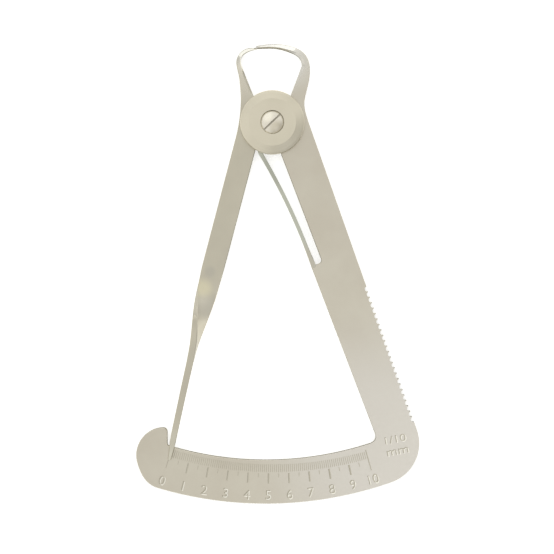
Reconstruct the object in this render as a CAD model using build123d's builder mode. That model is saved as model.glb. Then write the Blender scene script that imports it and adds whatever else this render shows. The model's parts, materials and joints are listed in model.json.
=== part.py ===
from build123d import *
import math
import os

# A spring-closed thickness caliper, lying on its back: X to the right, Y towards the jaws, Z up to the face.
# The origin is on the pivot axis, in the plane of the back. All sizes are in millimetres and degrees.

# Sheet and clearances
sheet = 1.8                 # thickness of the stamped sheet
lap_gap = 0.05              # between the two halves of the hub lap, and under the cap
hub_gap = 0.1               # round each half of the hub lap
seat_gap = 0.02             # round pieces that are pressed or screwed together
running_gap = 0.04          # round the journal that the pointer arm turns on
tip_gap = 0.06              # between the closed jaw tips
edge_break = 0.12           # chamfer on the sheet's stamped edges

# Hub
hub_radius = 4.1            # each half of the lap joint
lap_height = 0.85           # the frame's half of the lap, at the back
journal_radius = 2.0
flange_radius = 2.9
flange_height = 0.4
thread_radius = 1.25        # screw thread, M2.5
washer_inner_radius = 2.15
washer_outer_radius = 3.7
washer_thickness = 0.2
cap_radius = 7.25
cap_flat_radius = 5.35
cap_height = 1.75
cap_rim_height = 1.1        # up to the broad slope round the flat
cap_rim_round = 0.3
cap_web = 0.75              # metal under the sunk screw head
shank_gap = 0.1             # round the screw in the cap
head_radius = 2.45
head_gap = 0.22             # round the screw head in its recess
head_rim_height = 0.3
head_dome = 0.8
driver_slot_width = 0.36
driver_slot_depth = 0.85
driver_slot_angle = 41.5

# Frame arm. A lean is the angle of an edge from the vertical, an offset its distance from the pivot axis.
inner_lean = 20.9
inner_offset = -3.37        # edge below the leaf spring
outer_lean = 19.4
outer_offset = 7.77
spring_slot = 1.64          # slot between leaf and arm, at its root
spring_root = 33.5          # from the pivot to the end of the slot, along the arm
scale_inner_radius = 76.3
scale_outer_radius = 86.15
scale_centre = -1.5         # the scale's edges are struck a little to the left of the pivot
corner_radius = 9.3         # outer corner below the grip
throat_radius = 1.6         # inner corner between arm and scale
guard_centre = (-24.6, -75.15)
guard_radius = 6.2
guard_top = 90.0            # the guard's round starts straight above its centre
guard_turn = 195.0          # and leaves its circle here
guard_wall = -23.75
guard_foot = -25.9          # where the guard's curve leaves the scale's outer edge
guard_corner = 1.0
guard_root_radius = 0.6     # in the notch between guard and scale

# Grip teeth along the outer edge
tooth_count = 25
tooth_pitch = 1.304
tooth_start = 42.6          # first groove, from the pivot along the arm
tooth_radius = 0.56

# Jaws
tip_angle = 102.0
tip_depth = 0.9             # what is left of the sheet's thickness at the tips
thin_from = 13.0            # the jaws are thinned at the back above this height
bevel_depth = 0.4           # slope on the front of each jaw, along its inner edge
frame_bevel = 0.65
pointer_bevel = 0.45
frame_tip_radius = 17.8
frame_tip_width = 0.72
frame_thin_start = 6.0
frame_waist_blend = 3.0     # where the jaw's back runs into the arm's outer edge
frame_jaw_outer = [(0.05, 17.82), (4.11, 17.42), (7.5, 15.4), (8.54, 12.2), (7.5, 6.2)]
frame_jaw_inner = [(6.38, 14.25), (4.3, 15.85), (0.6, 16.8)]
frame_jaw_base = (3.95, 5.6)
frame_jaw_bend = (6.66, 12.9)
frame_tip_run = (-1, -0.02) # direction of the jaw's inner edge at its tip
pointer_tip_radius = 17.47
pointer_tip_width = 0.5
pointer_thin_start = -6.8
pointer_waist = (-7.12, 5.6)
pointer_waist_blend = 5.5
waist_ease = 0.5
pointer_jaw_outer = [(-5.38, 16.93), (-7.4, 15.75), (-8.17, 13.9), (-7.8, 11.6), (-7.3, 8.2)]
pointer_jaw_inner = [(-7.12, 14.4), (-5.95, 15.88)]
pointer_jaw_base = (-4.2, 5.9)
pointer_jaw_bend = (-6.95, 12.9)
pointer_tip_run = (1, 0.16)
bend_ease = 0.6             # how tightly both jaws' inner edges turn at their bends

# Pointer arm
pointer_lean = -14.7
pointer_width = 5.0
pointer_inner_offset = -2.15
pointer_plate_length = 34.0 # straight plate, from the pivot along the arm
blade_depth = 2.7           # of the twisted strip, once it stands on edge
needle_width = 1.52
needle_tip_width = 1.3
needle_tip_depth = 0.8
needle_lean = -11.4
needle_angle = -107.0       # direction of the needle's tip from the pivot
needle_tip_radius = 79.6
needle_gap = 0.15           # between the needle and the face of the scale
twist_start = 0.05          # share of the blade's length
twist_end = 0.5
rise_start = 0.15
rise_end = 0.9
blade_stations = (0, 0.06, 0.12, 0.19, 0.26, 0.33, 0.4, 0.5, 0.62, 0.75, 0.9, 1)

# Leaf spring
leaf_width = 1.05
leaf_lean = 19.3            # at its root
leaf_radius = 141.0         # of its bow
leaf_length = 28.4
leaf_gap = 0.05             # round the spring's root


def edge_point(lean, offset, along):
    """Point on a straight edge that leans from the vertical and passes the pivot axis at an offset."""
    angle = math.radians(lean)
    x = offset * math.cos(angle) + along * math.sin(angle)
    y = offset * math.sin(angle) - along * math.cos(angle)
    return (x, y)


def polar(radius, angle):
    """Point at a radius and an angle round the pivot axis."""
    return (radius * math.cos(math.radians(angle)), radius * math.sin(math.radians(angle)))


def on_arc(radius, x):
    """Point of a scale edge at a given x."""
    return (x, -math.sqrt(radius ** 2 - (x - scale_centre) ** 2))


def edge_on_arc(lean, offset, radius):
    """Where a straight arm edge meets a scale edge."""
    dx, dy = edge_point(lean, 0, 1)
    px, py = edge_point(lean, offset, 0)
    px -= scale_centre
    half = px * dx + py * dy
    along = -half + math.sqrt(half ** 2 - (px ** 2 + py ** 2 - radius ** 2))
    return edge_point(lean, offset, along)


def ease(value, start, end):
    """Smooth step from 0 at start to 1 at end."""
    share = min(max((value - start) / (end - start), 0), 1)
    return share * share * (3 - 2 * share)


def stamped_edges(part, bare):
    """Edges of a sheet part's two faces, outside the hub, without the bare ones."""
    edges = part.faces().filter_by(Axis.Z).edges()
    return edges.filter_by(lambda edge: (edge @ 0.5).length > cap_radius and edge not in bare)


def jaw_edges(part, base, bend, hook):
    """Front edges on the inside of a jaw: its straight run from base to bend, and its hook."""
    front = part.faces().sort_by(Axis.Z)[-1]
    middle = (Vector(*base) + Vector(*bend)) / 2
    return ShapeList(
        front.edges().sort_by_distance((x, y, sheet))[0] for x, y in ((middle.X, middle.Y), hook)
    )


def thin_jaw(start, reach):
    """Wedge that thins a jaw from the back, from start to its tip."""
    Polygon((start, 0), (reach, 0), (reach, sheet - tip_depth), align=None)


os.makedirs("parts", exist_ok=True)

tip_half = math.degrees(tip_gap / 2 / frame_tip_radius)
jaw_end = polar(frame_tip_radius, tip_angle)[0]
slot_wall_offset = inner_offset + leaf_width + spring_slot
leaf_root = edge_point(inner_lean, inner_offset + leaf_width / 2, spring_root)
pointer_lap = lap_height + lap_gap
cap_bottom = sheet + lap_gap
recess_floor = cap_bottom + cap_web
thin_reach = frame_tip_radius

# Frame arm: jaw, hub half, slotted arm with a toothed edge, scale and guard
with BuildPart() as frame_arm:
    with BuildSketch():
        with BuildLine():
            tip_outer = polar(frame_tip_radius, tip_angle - tip_half)
            tip_inner = polar(frame_tip_radius - frame_tip_width, tip_angle - tip_half)
            arm_top = edge_point(outer_lean, outer_offset, frame_waist_blend)
            arm_run = edge_point(outer_lean, 0, 1)
            Spline(tip_outer, *frame_jaw_outer, arm_top, tangents=[polar(1, tip_angle - 90), arm_run])
            corner = edge_on_arc(outer_lean, outer_offset, scale_outer_radius)
            Line(arm_top, corner)
            guard_start = on_arc(scale_outer_radius, guard_foot)
            scale_back = ThreePointArc(corner, (scale_centre, -scale_outer_radius), guard_start)
            guard_round = CenterArc(guard_centre, guard_radius, guard_top, guard_turn - guard_top)
            Spline(scale_back @ 1, guard_round @ 1, tangents=[scale_back % 1, (guard_round % 1) * -1])
            guard_tip = (guard_wall, guard_centre[1] + guard_radius)
            guard_root = on_arc(scale_inner_radius, guard_wall)
            Polyline(guard_round @ 0, guard_tip, guard_root)
            throat = edge_on_arc(inner_lean, inner_offset, scale_inner_radius)
            ThreePointArc(guard_root, (scale_centre, -scale_inner_radius), throat)
            arm_step = edge_point(inner_lean, inner_offset, spring_root)
            slot_foot = edge_point(inner_lean, slot_wall_offset, spring_root)
            hub_foot = edge_point(inner_lean, slot_wall_offset, hub_radius / 2)
            Polyline(throat, arm_step, slot_foot, hub_foot, (0, 0), frame_jaw_base, frame_jaw_bend)
            jaw_run = Vector(*frame_jaw_bend) - Vector(*frame_jaw_base)
            Spline(
                frame_jaw_bend,
                *frame_jaw_inner,
                tip_inner,
                tangents=[jaw_run, frame_tip_run],
                tangent_scalars=[bend_ease, 1],
            )
            Line(tip_inner, tip_outer)
        make_face()
    extrude(amount=sheet)
    for point, radius in (
        (corner, corner_radius),
        (guard_tip, guard_corner),
        (throat, throat_radius),
        (slot_foot, spring_slot / 2),
        (guard_root, guard_root_radius),
    ):
        fillet(frame_arm.edges().filter_by(Axis.Z).sort_by_distance(point)[0], radius)
    jaw_inside = (frame_jaw_base, frame_jaw_bend, frame_jaw_inner[1])
    chamfer(stamped_edges(frame_arm, jaw_edges(frame_arm, *jaw_inside)), edge_break)
    front = frame_arm.faces().sort_by(Axis.Z)[-1]
    chamfer(jaw_edges(frame_arm, *jaw_inside), frame_bevel, bevel_depth, reference=front)
    with BuildSketch(Plane.XZ.offset(-thin_from)):
        thin_jaw(frame_thin_start, jaw_end)
    extrude(amount=-thin_reach, mode=Mode.SUBTRACT)
    with BuildSketch():
        Circle(hub_radius)
    extrude(amount=lap_height)
    with BuildSketch(Plane.XY.offset(lap_height)):
        Circle(hub_radius + hub_gap)
    extrude(amount=sheet - lap_height, mode=Mode.SUBTRACT)
    with BuildSketch():
        Circle(journal_radius + seat_gap)
        with Locations(leaf_root):
            Circle(leaf_width / 2 + leaf_gap)
        for tooth in range(tooth_count):
            with Locations(edge_point(outer_lean, outer_offset, tooth_start + tooth * tooth_pitch)):
                Circle(tooth_radius)
    extrude(amount=sheet, mode=Mode.SUBTRACT)
    with BuildSketch():
        Circle(flange_radius + seat_gap)
    extrude(amount=flange_height + seat_gap, mode=Mode.SUBTRACT)

# Pointer arm: jaw, hub half and arm in one strip, twisted a quarter turn into a needle
with BuildPart() as pointer_arm:
    with BuildSketch():
        with BuildLine():
            tip_outer = polar(pointer_tip_radius, tip_angle + tip_half)
            tip_inner = polar(pointer_tip_radius - pointer_tip_width, tip_angle + tip_half)
            outer_edge = pointer_inner_offset - pointer_width
            arm_top = edge_point(pointer_lean, outer_edge, pointer_waist_blend)
            waist_arc = TangentArc(arm_top, pointer_waist, tangent=edge_point(pointer_lean, 0, -1))
            Spline(
                tip_outer,
                *pointer_jaw_outer,
                pointer_waist,
                tangents=[polar(1, tip_angle + 90), (waist_arc % 1) * -1],
                tangent_scalars=[1, waist_ease],
            )
            Polyline(
                arm_top,
                edge_point(pointer_lean, outer_edge, pointer_plate_length),
                edge_point(pointer_lean, pointer_inner_offset, pointer_plate_length),
                edge_point(pointer_lean, pointer_inner_offset, hub_radius / 2),
                (0, 0),
                pointer_jaw_base,
                pointer_jaw_bend,
            )
            jaw_run = Vector(*pointer_jaw_bend) - Vector(*pointer_jaw_base)
            Spline(
                pointer_jaw_bend,
                *pointer_jaw_inner,
                tip_inner,
                tangents=[jaw_run, pointer_tip_run],
                tangent_scalars=[bend_ease, 1],
            )
            Line(tip_inner, tip_outer)
        make_face()
    extrude(amount=sheet)
    plate_end = edge_point(pointer_lean, pointer_inner_offset - pointer_width / 2, pointer_plate_length)
    jaw_inside = (pointer_jaw_base, pointer_jaw_bend, pointer_jaw_inner[1])
    stamped = stamped_edges(pointer_arm, jaw_edges(pointer_arm, *jaw_inside))
    chamfer(stamped.sort_by_distance((*plate_end, sheet / 2))[2:], edge_break)
    front = pointer_arm.faces().sort_by(Axis.Z)[-1]
    chamfer(jaw_edges(pointer_arm, *jaw_inside), pointer_bevel, bevel_depth, reference=front)
    with BuildSketch(Plane.XZ.offset(-thin_from)):
        thin_jaw(pointer_thin_start, jaw_end)
    extrude(amount=-thin_reach, mode=Mode.SUBTRACT)
    with BuildSketch():
        Circle(hub_radius + hub_gap)
    extrude(amount=pointer_lap, mode=Mode.SUBTRACT)
    with BuildSketch(Plane.XY.offset(pointer_lap)):
        Circle(hub_radius)
    extrude(amount=sheet - pointer_lap)
    with BuildSketch():
        Circle(journal_radius + running_gap)
    extrude(amount=sheet, mode=Mode.SUBTRACT)
    blade_line = Spline(
        plate_end,
        polar(needle_tip_radius, needle_angle),
        tangents=[edge_point(pointer_lean, 0, 1), edge_point(needle_lean, 0, 1)],
        mode=Mode.PRIVATE,
    )
    for share in blade_stations:
        turn = math.radians(90) * ease(share, twist_start, twist_end)
        slim = (pointer_width - blade_depth) * ease(share, 0, twist_end)
        taper = max(share - twist_end, 0) / (1 - twist_end)
        depth = pointer_width - slim - (blade_depth - needle_tip_depth) * taper
        width = sheet + (needle_width - sheet) * ease(share, 0, twist_end)
        width += (needle_tip_width - needle_width) * taper
        half_height = (depth * math.sin(turn) + width * math.cos(turn)) / 2
        rise = (sheet + needle_gap) * ease(share, rise_start, rise_end)
        run = blade_line % share
        side = Vector(-run.Y, run.X, 0)
        station = Plane(
            origin=(blade_line @ share) + Vector(0, 0, rise + half_height),
            x_dir=side * math.cos(turn) - Vector(0, 0, math.sin(turn)),
            z_dir=run,
        )
        with BuildSketch(station):
            Rectangle(depth, width)
            chamfer(vertices(), edge_break)
    loft()

# Leaf spring: on the real object one piece with the frame arm, cut free by the slot
with BuildPart() as leaf_spring:
    with BuildSketch():
        bow_centre = Vector(*leaf_root) - Vector(*polar(leaf_radius, leaf_lean))
        bow = math.degrees(leaf_length / leaf_radius)
        SlotArc(CenterArc(bow_centre, leaf_radius, leaf_lean, bow, mode=Mode.PRIVATE), leaf_width)
    extrude(amount=sheet)

# Pivot bush: pressed into the frame's half from behind, flush with the back
with BuildPart() as pivot_bush:
    with BuildSketch():
        Circle(flange_radius)
    extrude(amount=flange_height)
    with BuildSketch():
        Circle(journal_radius)
    extrude(amount=cap_bottom)
    with BuildSketch():
        Circle(thread_radius + seat_gap)
    extrude(amount=cap_bottom, mode=Mode.SUBTRACT)

# Spring washer: a thin ring in a groove of the cap that takes up the play of the pointer arm
with BuildPart() as spring_washer:
    with BuildSketch(Plane.XY.offset(sheet + lap_gap / 2)):
        Circle(washer_outer_radius)
        Circle(washer_inner_radius, mode=Mode.SUBTRACT)
    extrude(amount=washer_thickness)

# Pivot cap: turned disc with a sloped rim and a recess for the screw head
with BuildPart() as pivot_cap:
    with BuildSketch(Plane.XZ) as cap_section:
        with BuildLine():
            cap_top = cap_bottom + cap_height
            rim = (cap_radius, cap_bottom + cap_rim_height)
            Polyline(
                (cap_flat_radius, cap_top),
                (0, cap_top),
                (0, cap_bottom),
                (cap_radius, cap_bottom),
                rim,
                close=True,
            )
        make_face()
        fillet(cap_section.vertices().sort_by_distance(rim)[0], cap_rim_round)
    revolve(axis=Axis.Z)
    with BuildSketch(Plane.XY.offset(recess_floor)):
        Circle(head_radius + head_gap)
    extrude(amount=cap_height, mode=Mode.SUBTRACT)
    with BuildSketch(Plane.XY.offset(cap_bottom)):
        Circle(thread_radius + shank_gap)
    extrude(amount=cap_height, mode=Mode.SUBTRACT)
    with BuildSketch(Plane.XY.offset(cap_bottom)):
        Circle(washer_outer_radius + hub_gap)
        Circle(washer_inner_radius - lap_gap, mode=Mode.SUBTRACT)
    extrude(amount=washer_thickness + lap_gap / 2, mode=Mode.SUBTRACT)

# Pivot screw: shank ground flush with the back, domed head with a driver slot in the recess of the cap
with BuildPart() as pivot_screw:
    with BuildSketch(Plane.XZ):
        with BuildLine():
            head_rim = recess_floor + head_rim_height
            crown = (0, head_rim + head_dome)
            Polyline(
                crown,
                (0, 0),
                (thread_radius, 0),
                (thread_radius, recess_floor),
                (head_radius, recess_floor),
                (head_radius, head_rim),
            )
            RadiusArc((head_radius, head_rim), crown, -(head_radius ** 2 + head_dome ** 2) / (2 * head_dome))
        make_face()
    revolve(axis=Axis.Z)
    with BuildSketch(Plane.XY.offset(head_rim + head_dome - driver_slot_depth)):
        Rectangle(3 * head_radius, driver_slot_width, rotation=driver_slot_angle)
    extrude(amount=head_rim_height + head_dome, mode=Mode.SUBTRACT)

frame_arm.part.label = "frame_arm"
pointer_arm.part.label = "pointer_arm"
leaf_spring.part.label = "leaf_spring"
pivot_bush.part.label = "pivot_bush"
spring_washer.part.label = "spring_washer"
pivot_cap.part.label = "pivot_cap"
pivot_screw.part.label = "pivot_screw"
export_step(frame_arm.part, "parts/frame_arm.step")
export_step(pointer_arm.part, "parts/pointer_arm.step")
export_step(leaf_spring.part, "parts/leaf_spring.step")
export_step(pivot_bush.part, "parts/pivot_bush.step")
export_step(spring_washer.part, "parts/spring_washer.step")
export_step(pivot_cap.part, "parts/pivot_cap.step")
export_step(pivot_screw.part, "parts/pivot_screw.step")
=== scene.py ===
"""Looks of a spring-closed thickness caliper: engraved scale, leaf spring, satin steel and studio."""

import bisect
import json
import logging
import math
from collections.abc import Callable
from dataclasses import dataclass
from enum import Enum

import bmesh
import bpy
from mathutils import Matrix, Vector


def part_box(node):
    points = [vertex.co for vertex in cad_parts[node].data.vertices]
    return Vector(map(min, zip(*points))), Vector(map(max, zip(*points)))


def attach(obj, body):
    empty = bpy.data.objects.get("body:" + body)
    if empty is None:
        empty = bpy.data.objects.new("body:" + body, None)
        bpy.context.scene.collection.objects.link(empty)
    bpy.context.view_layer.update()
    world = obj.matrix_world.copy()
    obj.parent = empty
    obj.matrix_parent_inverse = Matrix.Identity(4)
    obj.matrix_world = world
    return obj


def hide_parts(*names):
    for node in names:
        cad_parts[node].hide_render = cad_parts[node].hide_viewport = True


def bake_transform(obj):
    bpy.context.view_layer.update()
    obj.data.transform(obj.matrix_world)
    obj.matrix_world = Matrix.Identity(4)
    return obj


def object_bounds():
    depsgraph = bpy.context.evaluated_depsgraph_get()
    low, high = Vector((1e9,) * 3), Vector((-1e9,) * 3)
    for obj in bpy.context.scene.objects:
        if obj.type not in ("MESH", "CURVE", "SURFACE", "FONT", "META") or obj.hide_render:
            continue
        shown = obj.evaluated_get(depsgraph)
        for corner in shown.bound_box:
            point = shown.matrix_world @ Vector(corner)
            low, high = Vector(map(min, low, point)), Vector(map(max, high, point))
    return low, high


# Lengths in this file are in millimetres and angles in degrees, where nothing else is said.
MM = 0.001                  # one millimetre in metres
MICRON = 0.001              # one micron in millimetres
IMAGE_WIDTH = 554           # pixels across the picture that the camera matches
PIXELS_PER_MM = 4.424       # on the front face of the sheet
SHEET = 1.8                 # thickness of the stamped sheet
RING_FACTOR = 20            # Blender's ring pattern turns this many radians for each unit of its scale
WALL_NORMAL = 0.3           # with less of its normal upwards, a face is a wall
SMOOTH_ANGLE = 16.0         # between two faces that are shaded as one
FLAT_ANGLE = 0.2            # between two faces that are joined into one
JOINED = 0.001              # corners that lie closer are one
NEARLY = 0.01               # how far a corner may lie from a plane that it is on
LEAST_STEP = 1e-9           # keeps a division sound where two points of a line coincide
SPOT_CORE = 0.3             # share of a spot's radius that has its colour and gloss in full
PATCH_RANGE = (0.35, 0.65)  # of the noise, from one colour of a finish to the other
GRAIN_RANGE = (0.3, 0.7)    # of the grain's height, from the smoothest to the roughest
ROLLED_STRETCH = (1.0, 0.04, 1.0)
FIGURE_SHARE = 0.7          # height of a numeral over the size of its typeface
TENTHS = 10                 # in one division of the scale

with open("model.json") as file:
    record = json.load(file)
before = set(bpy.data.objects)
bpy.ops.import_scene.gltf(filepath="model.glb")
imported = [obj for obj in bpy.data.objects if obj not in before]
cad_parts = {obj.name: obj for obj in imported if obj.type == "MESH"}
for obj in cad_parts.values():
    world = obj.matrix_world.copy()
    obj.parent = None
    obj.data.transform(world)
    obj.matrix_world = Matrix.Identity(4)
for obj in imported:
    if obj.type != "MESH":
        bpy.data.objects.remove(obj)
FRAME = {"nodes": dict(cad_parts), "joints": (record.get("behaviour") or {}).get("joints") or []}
CAD_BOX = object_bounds()
log = logging.getLogger("caliper")


class Grain(Enum):
    """How the marks of working lie in a steel surface."""

    TUMBLED = "tumbled"
    ROLLED = "rolled"
    TURNED = "turned"


def linear(hex_colour: str) -> tuple[float, float, float, float]:
    """Turn an sRGB hex colour into linear red, green, blue and a full alpha.

    Args:
        hex_colour: six hex digits after a hash sign.

    Returns:
        Four linear values.
    """
    shares = [int(hex_colour[i:i + 2], 16) / 255 for i in (1, 3, 5)]
    values = [s / 12.92 if s <= 0.04045 else ((s + 0.055) / 1.055) ** 2.4 for s in shares]
    return (values[0], values[1], values[2], 1.0)


def features(size_mm: float) -> float:
    """Texture scale that draws features of a size, on coordinates in metres."""
    return 1 / (size_mm * MM)


def add_node(tree: bpy.types.NodeTree, kind: str, settings: dict, links: dict) -> bpy.types.Node:
    """Add one node, set its properties and inputs, and link its inputs.

    Args:
        tree: the node tree to add to.
        kind: the node's type.
        settings: values by property name, or by input name or number.
        links: output sockets by input name or number.

    Returns:
        The new node.
    """
    node = tree.nodes.new(kind)
    for key, value in settings.items():
        if isinstance(key, str) and hasattr(node, key):
            setattr(node, key, value)
        else:
            node.inputs[key].default_value = value
    for key, socket in links.items():
        tree.links.new(socket, node.inputs[key])
    return node


@dataclass(frozen=True)
class Wear:
    """A spot lighter, darker, duller or smoother than the finish around it: some are wear left by handling,
    tools or use, others are painted highlight and painted shade.
    """

    place: tuple[float, float, float]
    radius: float
    colour: str
    gloss: float = 1.0          # what is left of the roughness in the middle

    def share(self, tree: bpy.types.NodeTree, place: bpy.types.NodeSocket) -> bpy.types.NodeSocket:
        """How much of the spot there is, from 1 in the middle to 0 at the radius.

        Args:
            tree: the material's node tree.
            place: object coordinates, in metres.

        Returns:
            The socket that carries the share.
        """
        middle = Vector(self.place) * MM
        away = add_node(tree, "ShaderNodeVectorMath", {"operation": "DISTANCE", 1: middle}, {0: place})
        near = add_node(
            tree,
            "ShaderNodeMapRange",
            {
                "interpolation_type": "SMOOTHSTEP",
                "From Min": self.radius * MM,
                "From Max": self.radius * SPOT_CORE * MM,
                "To Min": 0.0,
                "To Max": 1.0,
            },
            {"Value": away.outputs["Value"]},
        )
        return near.outputs["Result"]


@dataclass(frozen=True)
class SteelFinish:
    """One stainless steel surface: what it is made of, how it was worked, what that gives the eye, and any
    painted highlight and painted shade that it carries.
    """

    name: str
    colour: str
    dull_colour: str
    roughness: float
    roughness_swing: float
    grain: Grain
    grain_size: float
    grain_depth: float          # in microns
    patch_size: float = 9.0
    edge_tint: str = "#ffffff"
    wear: tuple[Wear, ...] = ()

    def grain_height(self, tree: bpy.types.NodeTree, place: bpy.types.NodeSocket) -> bpy.types.NodeSocket:
        """Height of the marks of working, from 0 to 1.

        Args:
            tree: the material's node tree.
            place: object coordinates, in metres.

        Returns:
            The socket that carries the height.
        """
        scale = features(self.grain_size)
        if self.grain is Grain.TURNED:
            rings = add_node(
                tree,
                "ShaderNodeTexWave",
                {
                    "wave_type": "RINGS",
                    "rings_direction": "Z",
                    "Scale": scale * math.tau / RING_FACTOR,
                    "Distortion": 0.6,
                    "Detail": 3.0,
                    "Detail Scale": 0.4,
                },
                {"Vector": place},
            )
            return rings.outputs["Fac"]
        stretch = ROLLED_STRETCH if self.grain is Grain.ROLLED else (1.0, 1.0, 1.0)
        laid = add_node(tree, "ShaderNodeMapping", {"Scale": stretch}, {"Vector": place})
        noise = add_node(
            tree,
            "ShaderNodeTexNoise",
            {"Scale": scale, "Detail": 4.0, "Roughness": 0.6},
            {"Vector": laid.outputs["Vector"]},
        )
        return noise.outputs["Fac"]

    def material(self) -> bpy.types.Material:
        """Build the material, unless it is there already.

        Returns:
            The material, with a procedural colour, roughness and bump.
        """
        made = bpy.data.materials.get(self.name)
        if made:
            return made
        made = bpy.data.materials.new(self.name)
        made.use_nodes = True
        tree = made.node_tree
        shader = tree.nodes["Principled BSDF"]
        shader.inputs["Metallic"].default_value = 1.0
        shader.inputs["Specular Tint"].default_value = linear(self.edge_tint)
        place = add_node(tree, "ShaderNodeTexCoord", {}, {}).outputs["Object"]
        patches = add_node(
            tree,
            "ShaderNodeTexNoise",
            {"Scale": features(self.patch_size), "Detail": 3.0, "Roughness": 0.55},
            {"Vector": place},
        )
        share = add_node(
            tree,
            "ShaderNodeMapRange",
            {"From Min": PATCH_RANGE[0], "From Max": PATCH_RANGE[1], "To Min": 0.0, "To Max": 1.0},
            {"Value": patches.outputs["Fac"]},
        )
        tint = add_node(
            tree,
            "ShaderNodeMix",
            {"data_type": "RGBA", 6: linear(self.colour), 7: linear(self.dull_colour)},
            {0: share.outputs["Result"]},
        )
        height = self.grain_height(tree, place)
        gloss = add_node(
            tree,
            "ShaderNodeMapRange",
            {
                "From Min": GRAIN_RANGE[0],
                "From Max": GRAIN_RANGE[1],
                "To Min": self.roughness - self.roughness_swing,
                "To Max": self.roughness + self.roughness_swing,
            },
            {"Value": height},
        )
        colour, roughness = tint.outputs[2], gloss.outputs["Result"]
        # Each spot mixes in its colour and gloss: for some spots that is real wear, for others painted
        # highlight and painted shade.
        for spot in self.wear:
            spot_share = spot.share(tree, place)
            rubbed = add_node(
                tree, "ShaderNodeMix", {"data_type": "RGBA", 7: linear(spot.colour)}, {0: spot_share, 6: colour}
            )
            smoothed = add_node(
                tree, "ShaderNodeMapRange", {"To Min": 1.0, "To Max": spot.gloss}, {"Value": spot_share}
            )
            scaled = add_node(
                tree,
                "ShaderNodeMath",
                {"operation": "MULTIPLY"},
                {0: roughness, 1: smoothed.outputs["Result"]},
            )
            colour, roughness = rubbed.outputs[2], scaled.outputs[0]
        tree.links.new(colour, shader.inputs["Base Color"])
        tree.links.new(roughness, shader.inputs["Roughness"])
        bump = add_node(
            tree,
            "ShaderNodeBump",
            {"Strength": 1.0, "Distance": self.grain_depth * MICRON * MM},
            {"Height": height},
        )
        tree.links.new(bump.outputs["Normal"], shader.inputs["Normal"])
        return made


# The frame's jaw is rubbed smooth by what it grips. The corner below the grip is painted lighter and cooler:
# a painted reflection of the bright lower right of the room.
FRAME_JAW_WEAR = Wear((1.5, 15.0, 1.0), 11.0, "#dfdcd2", 0.6)
CORNER_PAINTED_LIGHT = Wear((24.0, -72.0, 1.8), 33.0, "#d6d1c5")
POINTER_JAW_WEAR = Wear((-6.0, 13.0, 1.0), 11.0, "#d4cebd", 0.6)
# The thin end of the pointer's hook is polished all over, so it is smoother; its lighter colour is a painted
# highlight.
POINTER_HOOK_POLISH_AND_SHEEN = Wear((-6.0, 16.8, 1.6), 6.0, "#e6e3d6", 0.8)
# The needle's end is rubbed light where it passes over the scale.
NEEDLE_END_WEAR = Wear((-22.7, -74.2, 2.8), 6.5, "#d3cebc", 0.9)
# Where the twist begins, a painted highlight lies on the arm, its roughness a little lower too, with a
# painted shade above it where the strip bends forward.
TWIST_PAINTED_HIGHLIGHT = Wear((-15.9, -37.6, 1.4), 3.2, "#d9d2b6", 0.8)
TWIST_PAINTED_SHADE = Wear((-14.1, -33.7, 1.8), 1.8, "#beb9a9")
# The middle of the twist carries a broader painted highlight.
TWIST_MIDDLE_PAINTED_HIGHLIGHT = Wear((-15.6, -42.0, 1.2), 4.2, "#e6e0ce")
# The heat of hardening faded towards the leaf's root, which keeps the sheet's own colour.
LEAF_ROOT_FADE = Wear((9.3, -32.3, 1.8), 7.0, "#c3beae")
# The leaf's free end beside the cap is painted darker: painted shade from the overhanging cap.
LEAF_END_PAINTED_SHADE = Wear((-0.2, -10.9, 1.8), 6.0, "#b2b3a5")
# The screw's head carries a painted highlight at its upper left, its roughness a little lower there, and
# painted shade at its lower right.
SCREW_PAINTED_HIGHLIGHT = Wear((-1.1, 1.3, 3.6), 1.7, "#faf4e2", 0.8)
SCREW_PAINTED_SHADE = Wear((1.0, -1.3, 3.4), 2.3, "#d2cab5")
# Tumbled stainless sheet: stamped, then rolled about with stones, which leaves an even grey satin without a
# direction. The grain is drawn at half a millimetre, as the real one of a tenth doesn't show at this size.
SHEET_STEEL = SteelFinish(
    "tumbled_stainless_sheet", "#d0cab9", "#cbc4b3", roughness=0.35, roughness_swing=0.03,
    grain=Grain.TUMBLED, grain_size=0.5, grain_depth=1.2, wear=(FRAME_JAW_WEAR, CORNER_PAINTED_LIGHT),
)
# The walls that the punch sheared: torn and dull, so rougher than the faces. Their darker colour and dimmed
# edge reflection are painted shade.
SHEARED_SHADED_STEEL = SteelFinish(
    "sheared_stainless_edge_painted_shade", "#a8a496", "#9d998c", roughness=0.5, roughness_swing=0.05,
    grain=Grain.ROLLED, grain_size=0.4, grain_depth=4.0, edge_tint="#8c8c8c",
)
# The pointer arm is the same sheet, ground again after twisting: a little duller and finely lined.
GROUND_STEEL = SteelFinish(
    "ground_stainless_sheet", "#c8c2af", "#c2bcaa", roughness=0.38, roughness_swing=0.04,
    grain=Grain.ROLLED, grain_size=0.45, grain_depth=1.0,
    wear=(
        POINTER_JAW_WEAR, POINTER_HOOK_POLISH_AND_SHEEN, TWIST_PAINTED_HIGHLIGHT, TWIST_PAINTED_SHADE, TWIST_MIDDLE_PAINTED_HIGHLIGHT,
        NEEDLE_END_WEAR,
    ),
)
# The wall that turns up in the twist was sheared and only rubbed, so it is rougher than the ground face; its
# darker colour is painted shade.
TURNING_WALL_SHADED_STEEL = SteelFinish(
    "rubbed_stainless_wall_painted_shade", "#b9b4a4", "#b0ab9b", roughness=0.42, roughness_swing=0.06,
    grain=Grain.TUMBLED, grain_size=0.5, grain_depth=1.0,
)
# The leaf keeps the darker skin of its hardening under the same tumbling.
SPRING_STEEL = SteelFinish(
    "hardened_stainless_leaf", "#c6c7b8", "#c0c1b2", roughness=0.36, roughness_swing=0.03,
    grain=Grain.ROLLED, grain_size=0.4, grain_depth=1.0, wear=(LEAF_ROOT_FADE, LEAF_END_PAINTED_SHADE),
)
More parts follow.
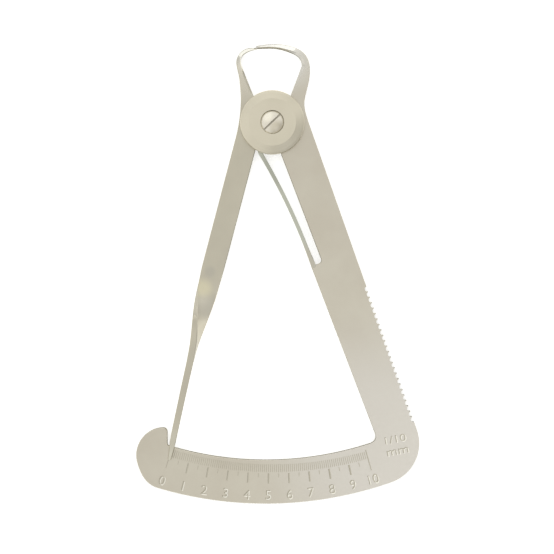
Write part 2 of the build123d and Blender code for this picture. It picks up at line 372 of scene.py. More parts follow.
# The bottoms of the engraved lines hold the dull oxide that tumbling can't reach.
ENGRAVED_STEEL = SteelFinish(
    "engraved_stainless_groove", "#cec8b6", "#c8c2b0", roughness=0.42, roughness_swing=0.05,
    grain=Grain.TUMBLED, grain_size=0.4, grain_depth=0.6,
)
# The numerals are struck with steel punches. Each stroke is cut twice, a little apart: its upper-left side
# is painted darker as painted shade, its lower-right side painted lighter as a painted highlight.
PAINTED_SHADE_STROKE_STEEL = SteelFinish(
    "struck_stainless_painted_shade_side", "#c4beac", "#beb8a6", roughness=0.42, roughness_swing=0.04,
    grain=Grain.TUMBLED, grain_size=0.4, grain_depth=0.5,
)
PAINTED_HIGHLIGHT_STROKE_STEEL = SteelFinish(
    "struck_stainless_painted_highlight_side", "#f5f1e3", "#efebdd", roughness=0.34, roughness_swing=0.04,
    grain=Grain.TUMBLED, grain_size=0.4, grain_depth=0.5,
)
# Turned stainless cap: rings from the lathe tool, softened by tumbling, a little brighter than the sheet.
# The rings are drawn at 0.7 mm, as the real feed of under a tenth doesn't show.
CAP_STEEL = SteelFinish(
    "turned_stainless_cap", "#dbd4bf", "#d6cfba", roughness=0.36, roughness_swing=0.02,
    grain=Grain.TURNED, grain_size=0.7, grain_depth=2.2,
)
# The slot of the screw and the floor of the cap's recess are rougher, and their darker colour is painted
# shade in these hollows.
HOLLOW_SHADE_STEEL = SteelFinish(
    "steel_slot_painted_shade", "#cdc7b8", "#c3bdae", roughness=0.5, roughness_swing=0.05,
    grain=Grain.TUMBLED, grain_size=0.4, grain_depth=0.8,
)
# Turned and polished screw: the smoothest surface. Its dome shows the lamps' highlight, with a painted
# highlight added at its upper left and painted shade at its lower right.
SCREW_STEEL = SteelFinish(
    "polished_stainless_screw", "#ebe5d5", "#e5dfcf", roughness=0.33, roughness_swing=0.02,
    grain=Grain.TURNED, grain_size=0.5, grain_depth=0.3, wear=(SCREW_PAINTED_HIGHLIGHT, SCREW_PAINTED_SHADE),
)


@dataclass
class Groove:
    """A straight engraved line with sloped walls, along a radius of the scale."""

    angle: float                # from straight down
    start: float
    end: float
    width: float
    depth: float

    def cut(self, shape: bmesh.types.BMesh) -> None:
        """Add the wedge that this line is cut with.

        Args:
            shape: the mesh that gathers the cutters.
        """
        turn = math.radians(self.angle)
        along = Vector((math.sin(turn), -math.cos(turn), 0))
        taper = self.depth
        # The wedge rises as far over the face as it goes in, so at its top it is twice as wide as the line.
        top = SHEET + self.depth
        wide = Vector((math.cos(turn), math.sin(turn), 0)) * self.width
        corners = [
            along * (self.start - taper) - wide + Vector((0, 0, top)),
            along * (self.start - taper) + wide + Vector((0, 0, top)),
            along * (self.end + taper) + wide + Vector((0, 0, top)),
            along * (self.end + taper) - wide + Vector((0, 0, top)),
            along * (self.start + taper) + Vector((0, 0, SHEET - self.depth)),
            along * (self.end - taper) + Vector((0, 0, SHEET - self.depth)),
        ]
        verts = [shape.verts.new(corner * MM) for corner in corners]
        for loop in ((0, 1, 2, 3), (1, 0, 4), (3, 2, 5), (2, 1, 4, 5), (0, 3, 5, 4)):
            shape.faces.new([verts[i] for i in loop])


@dataclass(frozen=True)
class StrokeSide:
    """One side of the strokes of a struck numeral."""

    finish: SteelFinish
    shift: tuple[float, float]  # of this side from the middle of the stroke
    steepness: float            # depth of its walls over their width


# The first side carries painted shade, the second a painted highlight.
STROKE_SIDES = (
    StrokeSide(PAINTED_SHADE_STROKE_STEEL, (-0.09, 0.06), 0.8),
    StrokeSide(PAINTED_HIGHLIGHT_STROKE_STEEL, (0.1, -0.07), 0.75),
)


@dataclass(frozen=True)
class Word:
    """A numeral or a part of the unit, struck into the scale."""

    text: str
    angle: float                # of its middle, from straight down
    radius: float               # of its middle, from the pivot
    height: float               # of a numeral
    wall: float                 # width of a stroke's walls over that height
    tilt: float = 0.0           # turn from its radius
    stretch: float = 1.0        # how much wider it is than the typeface


UNIT_WORDS = (
    Word("1/10", 21.3, 76.8, 1.65, wall=0.028, tilt=-10.0, stretch=1.3),
    Word("mm", 20.9, 79.65, 1.85, wall=0.028, tilt=-9.0, stretch=1.3),
)


@dataclass
class Dial:
    """The scale: a tenth-of-a-millimetre band, longer marks, and numerals that stand on a radius."""

    zero_angle: float = -17.1
    span: float = 33.0
    divisions: int = 10
    fine_start: float = 77.25
    fine_end: float = 79.0
    fine_width: float = 0.17
    mark_start: float = 79.3
    half_end: float = 80.2
    half_width: float = 0.17
    mark_end: float = 81.6
    mark_width: float = 0.4
    limit_start: float = 76.9
    limit_end: float = 81.7
    limit_width: float = 0.24
    wall_slope: float = 0.42    # depth of a line over half its width
    numeral_middle: float = 84.2
    numeral_height: float = 2.1
    numeral_shift: float = 1.5
    numeral_wall: float = 0.036     # width of a stroke's walls over the height of a numeral
    letter_middle: float = 0.035    # half the height of a letter's upright walls
    letter_lift: float = 0.01       # of their middle over the face
    letter_merge: float = 0.023     # corners of a letter that lie closer are one, so that no walls cross

    def angle(self, tenths: int) -> float:
        """Angle from straight down of a reading in tenths."""
        return self.zero_angle + self.span * tenths / (TENTHS * self.divisions)

    def line(self, angle: float, start: float, end: float, width: float) -> Groove:
        """Describe one line, as deep as its width allows."""
        return Groove(angle, start, end, width, self.wall_slope * width / 2)

    def grooves(self) -> list[Groove]:
        """List every straight line of the scale.

        Returns:
            The lines, from the first reading to the last.
        """
        lines = []
        last = TENTHS * self.divisions
        for tenths in range(last + 1):
            angle = self.angle(tenths)
            if tenths in (0, last):
                lines.append(self.line(angle, self.limit_start, self.limit_end, self.limit_width))
                continue
            lines.append(self.line(angle, self.fine_start, self.fine_end, self.fine_width))
            if tenths % TENTHS == 0:
                lines.append(self.line(angle, self.mark_start, self.mark_end, self.mark_width))
            elif tenths % (TENTHS // 2) == 0:
                lines.append(self.line(angle, self.mark_start, self.half_end, self.half_width))
        return lines

    def cutter(self) -> bpy.types.Object:
        """Build one object that holds the wedges of all the straight lines.

        Returns:
            A mesh object, not linked to the scene yet.
        """
        shape = bmesh.new()
        for groove in self.grooves():
            groove.cut(shape)
        bmesh.ops.recalc_face_normals(shape, faces=shape.faces)
        mesh = bpy.data.meshes.new("line_cutter")
        shape.to_mesh(mesh)
        shape.free()
        mesh.materials.append(ENGRAVED_STEEL.material())
        return bpy.data.objects.new("line_cutter", mesh)

    def numerals(self) -> list[Word]:
        """Describe the numerals, which come a little nearer to the pivot towards the end of the scale.

        Returns:
            One word for each division's line.
        """
        described = []
        for reading in range(self.divisions + 1):
            angle = self.angle(TENTHS * reading)
            radius = self.numeral_middle - self.numeral_shift * math.sin(math.radians(angle))
            described.append(Word(str(reading), angle, radius, self.numeral_height, self.numeral_wall))
        return described

    def words(self) -> list[bpy.types.Object]:
        """Build the letters that the numerals and the unit are cut with, one side of a stroke at a time."""
        described = [*self.numerals(), *UNIT_WORDS]
        return [self.letters(word, side) for side in STROKE_SIDES for word in described]

    def letters(self, word: Word, side: StrokeSide) -> bpy.types.Object:
        """Build one side of a word as a solid that reaches into the sheet's face, widest at its top.

        Args:
            word: what it says, and where.
            side: of the strokes.

        Returns:
            A mesh object in the row's frame, with the finish that it leaves.
        """
        curve = bpy.data.curves.new("letters", "FONT")
        curve.body = word.text
        curve.align_x = "CENTER"
        curve.align_y = "CENTER"
        curve.size = word.height * MM / FIGURE_SHARE
        curve.offset = -word.wall * word.height * MM
        curve.extrude = self.letter_middle * MM
        curve.bevel_depth = word.wall * word.height * MM
        curve.bevel_resolution = 0
        curve.resolution_u = 3
        holder = bpy.data.objects.new("letters", curve)
        mesh = bpy.data.meshes.new_from_object(holder)
        middle = sum((Vector(corner) for corner in holder.bound_box), Vector()) / 8
        bpy.data.objects.remove(holder)
        turn = math.radians(word.angle)
        place = Vector((math.sin(turn), -math.cos(turn), 0)) * word.radius
        place += Vector((0, 0, SHEET + self.letter_lift))
        middle.z = 0
        place += Vector((*side.shift, 0))
        shaped = Matrix.Diagonal((word.stretch, 1, side.steepness, 1))
        turned = Matrix.Rotation(turn + math.radians(word.tilt), 4, "Z") @ shaped
        mesh.transform(Matrix.Translation(place * MM) @ turned @ Matrix.Translation(-middle))
        shape = bmesh.new()
        shape.from_mesh(mesh)
        bmesh.ops.remove_doubles(shape, verts=shape.verts, dist=self.letter_merge * MM)
        shape.to_mesh(mesh)
        shape.free()
        mesh.materials.clear()
        mesh.materials.append(side.finish.material())
        return bpy.data.objects.new("letter_cutter", mesh)


def tidy_copy(node: str, name: str) -> bpy.types.Object:
    """Copy a CAD node's mesh into a new piece, with its corners joined and its flat faces whole.

    Args:
        node: the CAD node.
        name: of the new piece.

    Returns:
        The new object, linked to the scene.
    """
    mesh = FRAME["nodes"][node].data.copy()
    mesh.name = name
    if mesh.attributes.get("custom_normal"):
        mesh.attributes.remove(mesh.attributes["custom_normal"])
    mesh.materials.clear()
    shape = bmesh.new()
    shape.from_mesh(mesh)
    bmesh.ops.remove_doubles(shape, verts=shape.verts, dist=JOINED * MM)
    bmesh.ops.dissolve_limit(
        shape, angle_limit=math.radians(FLAT_ANGLE), verts=shape.verts, edges=shape.edges
    )
    shape.to_mesh(mesh)
    shape.free()
    piece = bpy.data.objects.new(name, mesh)
    bpy.context.scene.collection.objects.link(piece)
    return piece


def smooth_by_angle(mesh: bpy.types.Mesh, degrees: float) -> None:
    """Shade a mesh smooth and keep its edges above an angle sharp.

    Args:
        mesh: what is shaded.
        degrees: the angle.
    """
    mesh.polygons.foreach_set("use_smooth", [True] * len(mesh.polygons))
    mesh.set_sharp_from_angle(angle=math.radians(degrees))
    mesh.update()


def carve(piece: bpy.types.Object, cutter: bpy.types.Object) -> None:
    """Cut one object out of another for good, and give the cut walls the cutter's material.

    Args:
        piece: what is cut.
        cutter: what it is cut with; it is removed.
    """
    bpy.context.scene.collection.objects.link(cutter)
    modifier = piece.modifiers.new("carve", "BOOLEAN")
    modifier.operation = "DIFFERENCE"
    modifier.solver = "EXACT"
    modifier.material_mode = "TRANSFER"
    modifier.object = cutter
    bpy.context.view_layer.update()
    depsgraph = bpy.context.evaluated_depsgraph_get()
    carved = bpy.data.meshes.new_from_object(piece.evaluated_get(depsgraph))
    piece.modifiers.clear()
    piece.data = carved
    bpy.data.objects.remove(cutter)


def dress_sheet(
    piece: bpy.types.Object, face: SteelFinish, wall: SteelFinish, lowest: float = -math.inf
) -> None:
    """Give a stamped piece one finish on its faces and another, with painted shade, on its sheared walls.

    Args:
        piece: what is dressed.
        face: finish of the faces.
        wall: finish of the walls.
        lowest: Y below which the walls have been ground like the faces.
    """
    piece.data.materials.append(face.material())
    piece.data.materials.append(wall.material())
    for polygon in piece.data.polygons:
        sheared = abs(polygon.normal.z) < WALL_NORMAL and polygon.center.y > lowest * MM
        polygon.material_index = int(sheared)


def between(points: list[tuple[float, float]], place: float) -> float:
    """Read a line at a place between its points.

    Args:
        points: places with their values, sorted.
        place: where to read.

    Returns:
        The value there, or that of the nearest end.
    """
    index = bisect.bisect(points, (place, 0.0))
    if index in (0, len(points)):
        return points[min(index, len(points) - 1)][1]
    (low, start), (high, end) = points[index - 1], points[index]
    return start + (end - start) * (place - low) / max(high - low, LEAST_STEP)


@dataclass(frozen=True)
class HookSlope:
    """The outward slope on the front of a hooked jaw, which leaves a ridge near the inner edge.

    A reach is an angle round the middle of the throat, from the top of both hooks.
    """

    full_reach: float           # the slope is whole up to here
    end_reach: float            # and has run out here
    ridge_share: float          # of the way from the inner edge to the CAD ridge
    top_angle: float = 101.5    # of the top of the hooks, from +X
    middle: tuple[float, float] = (-0.5, 11.0)
    low_y: float = 6.6
    cuts: int = 90
    steepness: float = 0.55
    deepest: float = 0.62
    inner_lift: float = 0.15
    fixed_height: float = 0.95  # what lies lower stays in place
    least: float = 0.02         # width of a face that has run out
    least_flat: float = 0.1     # with less of its normal in the plane, a face is level
    wall_facing: float = 0.6    # cosine of a wall's normal to the way from the middle
    slope_facing: float = -0.4  # the same of the chamfer inside the ridge

    def polar(self, place: Vector) -> tuple[float, float]:
        """Reach and distance from the middle of the throat, in degrees and millimetres."""
        x, y = place.x / MM - self.middle[0], place.y / MM - self.middle[1]
        return ((math.degrees(math.atan2(y, x)) - self.top_angle + 180) % 360 - 180, math.hypot(x, y))

    def share(self, reach: float) -> float:
        """How much of the slope there is at a reach, from 0 to 1."""
        part = min(max((self.end_reach - abs(reach)) / (self.end_reach - self.full_reach), 0), 1)
        return part * part * (3 - 2 * part)

    def slice(self, shape: bmesh.types.BMesh) -> None:
        """Cut the jaw into short lengths, so that its front can slope.

        Args:
            shape: the mesh of the whole arm.
        """
        low = self.low_y * MM
        everything = [*shape.verts, *shape.edges, *shape.faces]
        bmesh.ops.bisect_plane(shape, geom=everything, plane_co=(0, low, 0), plane_no=(0, 1, 0))
        for step in range(self.cuts):
            turn = math.pi * step / self.cuts
            faces = [f for f in shape.faces if all(v.co.y > low - JOINED * MM for v in f.verts)]
            edges = list({e for f in faces for e in f.edges})
            verts = list({v for f in faces for v in f.verts})
            bmesh.ops.bisect_plane(
                shape,
                geom=[*verts, *edges, *faces],
                plane_co=(self.middle[0] * MM, self.middle[1] * MM, 0),
                plane_no=(math.sin(turn), math.cos(turn), 0),
            )

    def lines(self, shape: bmesh.types.BMesh) -> dict[str, list[tuple[float, float]]]:
        """Trace the inner edge, the ridge and the outer edge as reaches with their distances.

        Args:
            shape: the sliced mesh.

        Returns:
            Sorted points by the name of the line.
        """
        found = {"inner": set(), "ridge": set(), "outer": set()}
        middle = Vector((self.middle[0], self.middle[1], 0)) * MM
        for face in shape.faces:
            place = face.calc_center_median()
            way = place - middle
            way.z = 0
            flat = Vector((face.normal.x, face.normal.y, 0))
            if place.y < self.low_y * MM or flat.length < self.least_flat:
                continue
            facing = flat.normalized().dot(way.normalized())
            if abs(face.normal.z) < WALL_NORMAL and abs(facing) > self.wall_facing:
                found["outer" if facing > 0 else "inner"].update(self.polar(v.co) for v in face.verts)
            elif facing < self.slope_facing and face.normal.z > WALL_NORMAL:
                high = (SHEET - 2 * JOINED) * MM
                found["ridge"].update(self.polar(v.co) for v in face.verts if v.co.z > high)
        return {name: sorted(points) for name, points in found.items()}

    def shape(self, piece: bpy.types.Object) -> None:
        """Slope the front of a piece's jaw.

        Args:
            piece: a tidied copy of an arm.
        """
        shape = bmesh.new()
        shape.from_mesh(piece.data)
        self.slice(shape)
        shape.normal_update()
        lines = self.lines(shape)
        for vert in shape.verts:
            reach, distance = self.polar(vert.co)
            share = self.share(reach)
            height = vert.co.z / MM
            if vert.co.y < (self.low_y + NEARLY) * MM or share == 0 or height < self.fixed_height:
                continue
            inner, ridge, outer = (between(lines[name], reach) for name in ("inner", "ridge", "outer"))
            moved = inner + (ridge - inner) * (1 - share * (1 - self.ridge_share))
            part = (height - self.fixed_height) / (SHEET - self.fixed_height)
            if distance < ridge:
                place = max((distance - inner) / max(ridge - inner, self.least), 0)
                new_distance = inner + (moved - inner) * place
                vert.co.z += self.inner_lift * share * part * (1 - place) * MM
            else:
                place = min((distance - ridge) / max(outer - ridge, self.least), 1)
                new_distance = moved + (outer - moved) * place
                drop = min(self.steepness * (outer - moved), self.deepest)
                vert.co.z -= drop * place * share * part * MM
            scale = new_distance / distance
            vert.co.x = (self.middle[0] + (vert.co.x / MM - self.middle[0]) * scale) * MM
            vert.co.y = (self.middle[1] + (vert.co.y / MM - self.middle[1]) * scale) * MM
        shape.to_mesh(piece.data)
        shape.free()


@dataclass
class FramePlate:
    """The frame arm with its engraved scale."""

    dial: Dial
    hook: HookSlope

    def build(self) -> bpy.types.Object:
        """Engrave a copy of the frame arm, dress it and put it in the CAD node's place.

        Returns:
            The new piece.
        """
        plate = tidy_copy("frame_arm", "frame_plate")
        dress_sheet(plate, SHEET_STEEL, SHEARED_SHADED_STEEL)
        self.hook.shape(plate)
        for cutter in [self.dial.cutter(), *self.dial.words()]:
            carve(plate, cutter)
        plate.data.name = "frame_plate"
        smooth_by_angle(plate.data, SMOOTH_ANGLE)
        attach(plate, "frame")
        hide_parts("frame_arm")
        return plate


@dataclass
class LeafStrip:
    """The leaf spring, which bends from its root in the frame arm to its free end under the cap."""

    edge_round: float = 0.1
    ground_off: float = 0.17    # what grinding took off the side towards the slot
    run_in: float = 5.0         # from the root, until it is all taken off
    root_radius: float = 0.57   # fills the seat in the frame arm
    rim_angle: float = 50.0     # between two faces whose edge is rounded

    def fit(self, shape: bmesh.types.BMesh, root: Vector, way: Vector) -> None:
        """Slim the leaf and fill its seat, so that it grows out of the frame arm without a seam.

        Args:
            shape: the leaf's mesh, in metres.
            root: the middle of the seat.
            way: direction from the root to the free end.
        """
        shape.normal_update()
        slot_side = [f for f in shape.faces if f.normal.x > WALL_NORMAL and abs(f.normal.z) < WALL_NORMAL]
        pushes = {}
        for face in slot_side:
            for vert in face.verts:
                pushes[vert] = pushes.get(vert, Vector()) + face.normal
        for vert, push in pushes.items():
            share = min(max((vert.co - root).dot(way) / (self.run_in * MM), 0), 1)
            vert.co -= push.normalized() * self.ground_off * share * MM
        for vert in shape.verts:
            out = vert.co - root
            if out.dot(way) < 0:
                height, out.z = out.z, 0
                vert.co = root + out.normalized() * self.root_radius * MM + Vector((0, 0, height))

    def build(self) -> bpy.types.Object:
        """Copy the leaf, fit it and round its edges.

        Returns:
            The new piece.
        """
        strip = tidy_copy("leaf_spring", "leaf_strip")
        strip.data.materials.append(SPRING_STEEL.material())
        root = Vector(self.joint()["pos_m"])
        low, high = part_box("leaf_spring")
        tip = Vector((low.x, high.y, 0))
        way = (tip - root).normalized()
        shape = bmesh.new()
        shape.from_mesh(strip.data)
        self.fit(shape, root, way)
        rims = [
            e for e in shape.edges
            if len(e.link_faces) == 2 and e.calc_face_angle(0) > math.radians(self.rim_angle)
            and all((v.co - root).dot(way) > 0 for v in e.verts)
        ]
        bmesh.ops.bevel(
            shape, geom=rims, offset=self.edge_round * MM, segments=2, affect="EDGES", profile=0.5
        )
        shape.to_mesh(strip.data)
        shape.free()
        smooth_by_angle(strip.data, SMOOTH_ANGLE)
        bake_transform(strip)
        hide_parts("leaf_spring")
        return strip

    def joint(self) -> dict:
        """Find the joint at the leaf's root."""
        return next(joint for joint in FRAME["joints"] if joint["name"] == "leaf_flex")


@dataclass
class PointerBlade:
    """The pointer arm with its hooked jaw and the fine end of its needle."""

    hook: HookSlope
    twist_top: float = -33.0
    twist_end: float = -44.6
    steep_normal: float = 0.7   # with less of its normal upwards, a wall in the twist is still steep
    needle_lean: float = 11.4
    point_length: float = 4.0
    point_share: float = 0.5
    end_band: float = 0.3       # corners of the needle's end lie this near its lowest

    def sharpen(self, mesh: bpy.types.Mesh) -> None:
        """Draw the needle's end in to a fine point, seen from above.

        Args:
            mesh: of the pointer arm, in metres.
        """
        lowest = min(vert.co.y for vert in mesh.vertices)
        ends = [vert.co for vert in mesh.vertices if vert.co.y < lowest + self.end_band * MM]
        tip = sum(ends, Vector()) / len(ends)
        lean = math.radians(self.needle_lean)
        along = Vector((-math.sin(lean), -math.cos(lean), 0))
        across = Vector((math.cos(lean), -math.sin(lean), 0))
        for vert in mesh.vertices:
            share = 1 + (vert.co - tip).dot(along) / (self.point_length * MM)
            if share > 0:
                vert.co -= across * (vert.co - tip).dot(across) * self.point_share * min(share, 1)

    def dress_turning_wall(self, mesh: bpy.types.Mesh) -> None:
        """Give the wall that turns upwards in the twist its own finish, with painted shade.

        Args:
            mesh: of the pointer arm, in metres.
        """
        mesh.materials.append(TURNING_WALL_SHADED_STEEL.material())
        last = len(mesh.materials) - 1
        for polygon in mesh.polygons:
            in_twist = self.twist_end * MM < polygon.center.y < self.twist_top * MM
            if in_twist and polygon.normal.x < 0 and abs(polygon.normal.z) < self.steep_normal:
                polygon.material_index = last

    def build(self) -> bpy.types.Object:
        """Slope the jaw of a copy of the pointer arm, dress it and put it in the CAD node's place.

        Returns:
            The new piece.
        """
        blade = tidy_copy("pointer_arm", "pointer_blade")
        dress_sheet(blade, GROUND_STEEL, SHEARED_SHADED_STEEL, self.twist_top)
        self.dress_turning_wall(blade.data)
        self.hook.shape(blade)
        self.sharpen(blade.data)
        smooth_by_angle(blade.data, SMOOTH_ANGLE)
        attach(blade, "pointer")
        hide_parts("pointer_arm")
        return blade


@dataclass
class Pivot:
    """Cap and screw with painted shade in their hollows, and the hidden bush and washer."""

    slot_width: float = 0.36
    slot_angle: float = 41.5
    slot_floor: float = 2.85
    recess_radius: float = 2.68
    recess_floor: float = 2.6
    shank_radius: float = 1.4
    head_turn: float = 2.0      # how far the screw was turned on from the CAD slot
    head_growth: float = 1.045  # it fills more of the recess than the CAD head
    head_shift: tuple[float, float] = (-0.08, -0.01)
    dome_share: float = 0.6     # rise of its dome over that of the CAD dome
    head_height: float = 0.1    # over the floor of the recess, beyond which there is only the head
    floor_band: float = 0.02    # how far a face of the recess's floor may lie from it
    slot_margin: float = 0.005  # how far a wall of the slot may lie outside it

    def build(self) -> list[bpy.types.Object]:
        """Dress the pieces of the pivot.

        Returns:
            The cap, the screw, the bush and the washer.
        """
        cap = self.turned_piece("pivot_cap", "cap_disc", CAP_STEEL, self.on_recess_floor)
        screw = self.turned_piece("pivot_screw", "slotted_screw", SCREW_STEEL, self.in_slot)
        self.seat_head(screw.data)
        hidden = []
        for node, finish in (("pivot_bush", CAP_STEEL), ("spring_washer", SPRING_STEEL)):
            piece = FRAME["nodes"][node]
            piece.data.materials.clear()
            piece.data.materials.append(finish.material())
            hidden.append(piece)
        return [cap, screw, *hidden]

    def turned_piece(
        self, node: str, name: str, finish: SteelFinish, hollow: Callable[[Vector], bool]
    ) -> bpy.types.Object:
        """Copy a turned piece and paint shade into its hollow.

        Args:
            node: the CAD node.
            name: of the new piece.
            finish: of its outside.
            hollow: test that tells whether a place, in millimetres, is in the hollow.

        Returns:
            The new object.
        """
        piece = tidy_copy(node, name)
        piece.data.materials.append(finish.material())
        piece.data.materials.append(HOLLOW_SHADE_STEEL.material())
        for polygon in piece.data.polygons:
            polygon.material_index = int(hollow(polygon.center / MM))
        smooth_by_angle(piece.data, SMOOTH_ANGLE)
        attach(piece, "frame")
        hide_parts(node)
        return piece

    def seat_head(self, mesh: bpy.types.Mesh) -> None:
        """Turn the screw's head on, widen and flatten it, and set it a little off the recess's middle.

        Args:
            mesh: of the screw, in metres.
        """
        growth = Matrix.Diagonal((self.head_growth, self.head_growth, 1, 1))
        turn = Matrix.Rotation(math.radians(self.head_turn), 4, "Z") @ growth
        shift = Vector((*self.head_shift, 0)) * MM
        top = max(vert.co.z for vert in mesh.vertices)
        for vert in mesh.vertices:
            if vert.co.z > (self.slot_floor + NEARLY) * MM:
                vert.co.z = top - (top - vert.co.z) * self.dome_share
            above = vert.co.z / MM - self.recess_floor
            outside = vert.co.xy.length > self.shank_radius * MM
            if above > self.head_height or above > -NEARLY and outside:
                vert.co = turn @ vert.co + shift

    def on_recess_floor(self, place: Vector) -> bool:
        """Tell whether a place is on the floor of the cap's recess."""
        return place.xy.length < self.recess_radius and abs(place.z - self.recess_floor) < self.floor_band

    def in_slot(self, place: Vector) -> bool:
        """Tell whether a place is in the driver slot.

        Args:
            place: in millimetres.

        Returns:
            True on the slot's walls and floor.
        """
        turn = math.radians(self.slot_angle)
        across = abs(place.y * math.cos(turn) - place.x * math.sin(turn))
        return across < self.slot_width / 2 + self.slot_margin and place.z > self.slot_floor - NEARLY


@dataclass(frozen=True)
class Panel:
    """A soft lamp that faces the caliper."""

    name: str
    place: tuple[float, float, float]
    size: tuple[float, float]
    power: float                # in watts
    tint: str


PANELS = (
    Panel("key_panel", (-114.0, 368.0, 165.0), (700.0, 200.0), 0.27, "#f4f8ff"),
    Panel("corner_panel", (112.0, -148.0, 400.0), (130.0, 130.0), 0.035, "#ecf0ff"),
)


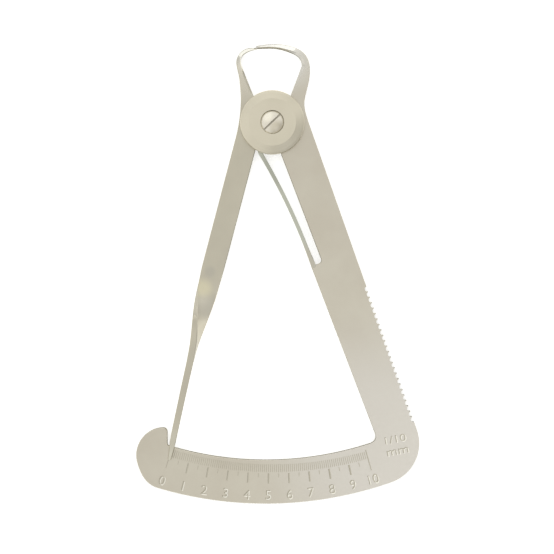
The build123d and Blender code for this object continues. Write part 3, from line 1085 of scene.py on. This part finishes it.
@dataclass
class Studio:
    """Camera, floor, world and lamps round the caliper."""

    camera_x: float = 1.06
    camera_y: float = -34.9
    camera_height: float = 420.0
    sensor_width: float = 36.0
    nearest_seen: float = 10.0
    furthest_seen: float = 10000.0
    floor_size: float = 3000.0
    floor_drop: float = 0.05    # of the floor under the CAD box
    floor_glow: float = 0.55    # strength of its own light, for what looks at it or mirrors it
    low_level: float = 0.85     # of the light from the horizon over that from above
    full_height: float = 0.45   # how far up the light is whole, from 0 at the horizon to 1 above
    tone_way: tuple[float, float, float] = (0.7, -0.71, 0.0)
    # Tones of the room by their place along that way, from -1 at the upper left to 1 at the lower right.
    room_tones: tuple[tuple[float, str], ...] = (
        (-1.0, "#dcdcdc"),
        (-0.72, "#e4e4e4"),
        (-0.6, "#fcfcfc"),
        (-0.3, "#fbfbfb"),
        (-0.12, "#efefef"),
        (0.0, "#ededed"),
        (0.04, "#f4f4f4"),
        (0.12, "#ffffff"),
        (0.26, "#fbfbfb"),
        (0.37, "#d6d6d6"),
        (0.46, "#c9c9c9"),
        (0.56, "#cbcbcb"),
        (1.0, "#c6c6c6"),
    )

    def build(self) -> None:
        """Set up everything that isn't part of the object."""
        self.camera()
        self.floor()
        self.world()
        for panel in PANELS:
            self.lamp(panel)

    def camera(self) -> None:
        """Place the camera straight above the middle of the picture."""
        data = bpy.data.cameras.new("camera")
        data.sensor_width = self.sensor_width
        picture = IMAGE_WIDTH / PIXELS_PER_MM
        data.lens = data.sensor_width * (self.camera_height - SHEET) / picture
        data.clip_start = self.nearest_seen * MM
        data.clip_end = self.furthest_seen * MM
        camera = bpy.data.objects.new("camera", data)
        camera.location = Vector((self.camera_x, self.camera_y, self.camera_height)) * MM
        bpy.context.scene.collection.objects.link(camera)
        bpy.context.scene.camera = camera

    def floor(self) -> None:
        """Lay a plain white floor that shows white and keeps a faint shadow."""
        mesh = bpy.data.meshes.new("floor")
        half = self.floor_size / 2 * MM
        level = CAD_BOX[0].z - self.floor_drop * MM
        corners = [(-half, -half, level), (half, -half, level), (half, half, level), (-half, half, level)]
        mesh.from_pydata(corners, [], [(0, 1, 2, 3)])
        floor = bpy.data.objects.new("floor", mesh)
        bpy.context.scene.collection.objects.link(floor)
        made = bpy.data.materials.new("matt_white_card")
        made.use_nodes = True
        tree = made.node_tree
        tree.nodes.clear()
        rays = add_node(tree, "ShaderNodeLightPath", {}, {})
        first = add_node(
            tree, "ShaderNodeMath", {"operation": "MAXIMUM"},
            {0: rays.outputs["Is Camera Ray"], 1: rays.outputs["Is Glossy Ray"]},
        )
        seen = add_node(
            tree, "ShaderNodeMath", {"operation": "MAXIMUM"},
            {0: first.outputs[0], 1: rays.outputs["Is Transmission Ray"]},
        )
        level_of_glow = add_node(
            tree, "ShaderNodeMath", {"operation": "MULTIPLY", 1: self.floor_glow}, {0: seen.outputs[0]}
        )
        card = add_node(tree, "ShaderNodeBsdfDiffuse", {"Color": linear("#f2f2f0")}, {})
        glow = add_node(tree, "ShaderNodeEmission", {}, {"Strength": level_of_glow.outputs[0]})
        both = add_node(tree, "ShaderNodeAddShader", {}, {0: card.outputs[0], 1: glow.outputs[0]})
        add_node(tree, "ShaderNodeOutputMaterial", {}, {"Surface": both.outputs[0]})
        mesh.materials.append(made)

    def world(self) -> None:
        """Light the room in pale tones along one diagonal, and show it white to the camera."""
        world = bpy.data.worlds.new("studio")
        bpy.context.scene.world = world
        world.use_nodes = True
        tree = world.node_tree
        tree.nodes.clear()
        place = add_node(tree, "ShaderNodeTexCoord", {}, {}).outputs["Generated"]
        side = add_node(
            tree, "ShaderNodeVectorMath",
            {"operation": "DOT_PRODUCT", 1: Vector(self.tone_way)}, {0: place},
        )
        share = add_node(
            tree, "ShaderNodeMapRange",
            {"From Min": -1.0, "From Max": 1.0, "To Min": 0.0, "To Max": 1.0},
            {"Value": side.outputs["Value"]},
        )
        across = add_node(tree, "ShaderNodeValToRGB", {}, {"Fac": share.outputs["Result"]})
        stops = across.color_ramp.elements
        ends = (self.room_tones[0], self.room_tones[-1])
        for stop, (side_share, colour) in zip((stops[0], stops[1]), ends):
            stop.position = (side_share + 1) / 2
            stop.color = linear(colour)
        for side_share, colour in self.room_tones[1:-1]:
            stops.new((side_share + 1) / 2).color = linear(colour)
        split = add_node(tree, "ShaderNodeSeparateXYZ", {}, {"Vector": place})
        height = add_node(
            tree, "ShaderNodeMapRange",
            {"From Min": 0.0, "From Max": self.full_height, "To Min": self.low_level, "To Max": 1.0},
            {"Value": split.outputs["Z"]},
        )
        back = add_node(
            tree, "ShaderNodeBackground", {},
            {"Color": across.outputs["Color"], "Strength": height.outputs["Result"]},
        )
        backdrop = add_node(tree, "ShaderNodeBackground", {"Color": linear("#ffffff")}, {})
        rays = add_node(tree, "ShaderNodeLightPath", {}, {})
        shown = add_node(
            tree, "ShaderNodeMixShader", {},
            {0: rays.outputs["Is Camera Ray"], 1: back.outputs[0], 2: backdrop.outputs[0]},
        )
        add_node(tree, "ShaderNodeOutputWorld", {}, {"Surface": shown.outputs[0]})

    def lamp(self, panel: Panel) -> None:
        """Hang a soft panel that faces the caliper.

        Args:
            panel: its place, size, power and tint.
        """
        data = bpy.data.lights.new(panel.name, "AREA")
        data.shape = "RECTANGLE"
        data.size, data.size_y = panel.size[0] * MM, panel.size[1] * MM
        data.energy = panel.power
        data.color = linear(panel.tint)[:3]
        lamp = bpy.data.objects.new(panel.name, data)
        lamp.location = Vector(panel.place) * MM
        aim = Vector((self.camera_x, self.camera_y, 0)) * MM - lamp.location
        lamp.rotation_mode = "QUATERNION"
        lamp.rotation_quaternion = aim.to_track_quat("-Z", "Y")
        bpy.context.scene.collection.objects.link(lamp)


def main() -> None:
    """Build the caliper's looks and the studio."""
    logging.basicConfig(level=logging.INFO, format="%(name)s: %(message)s")
    bpy.context.scene.view_settings.view_transform = "Standard"
    Studio().build()
    frame_hook = HookSlope(full_reach=38.0, end_reach=84.0, ridge_share=0.46)
    pointer_hook = HookSlope(full_reach=50.0, end_reach=90.0, ridge_share=0.3)
    plate = FramePlate(Dial(), frame_hook).build()
    log.info("%s: %d faces", plate.name, len(plate.data.polygons))
    strip = LeafStrip().build()
    log.info("%s: %d faces", strip.name, len(strip.data.polygons))
    for piece in [PointerBlade(pointer_hook).build(), *Pivot().build()]:
        log.info("%s: finish %s", piece.name, piece.data.materials[0].name)


if __name__ == "__main__":
    main()
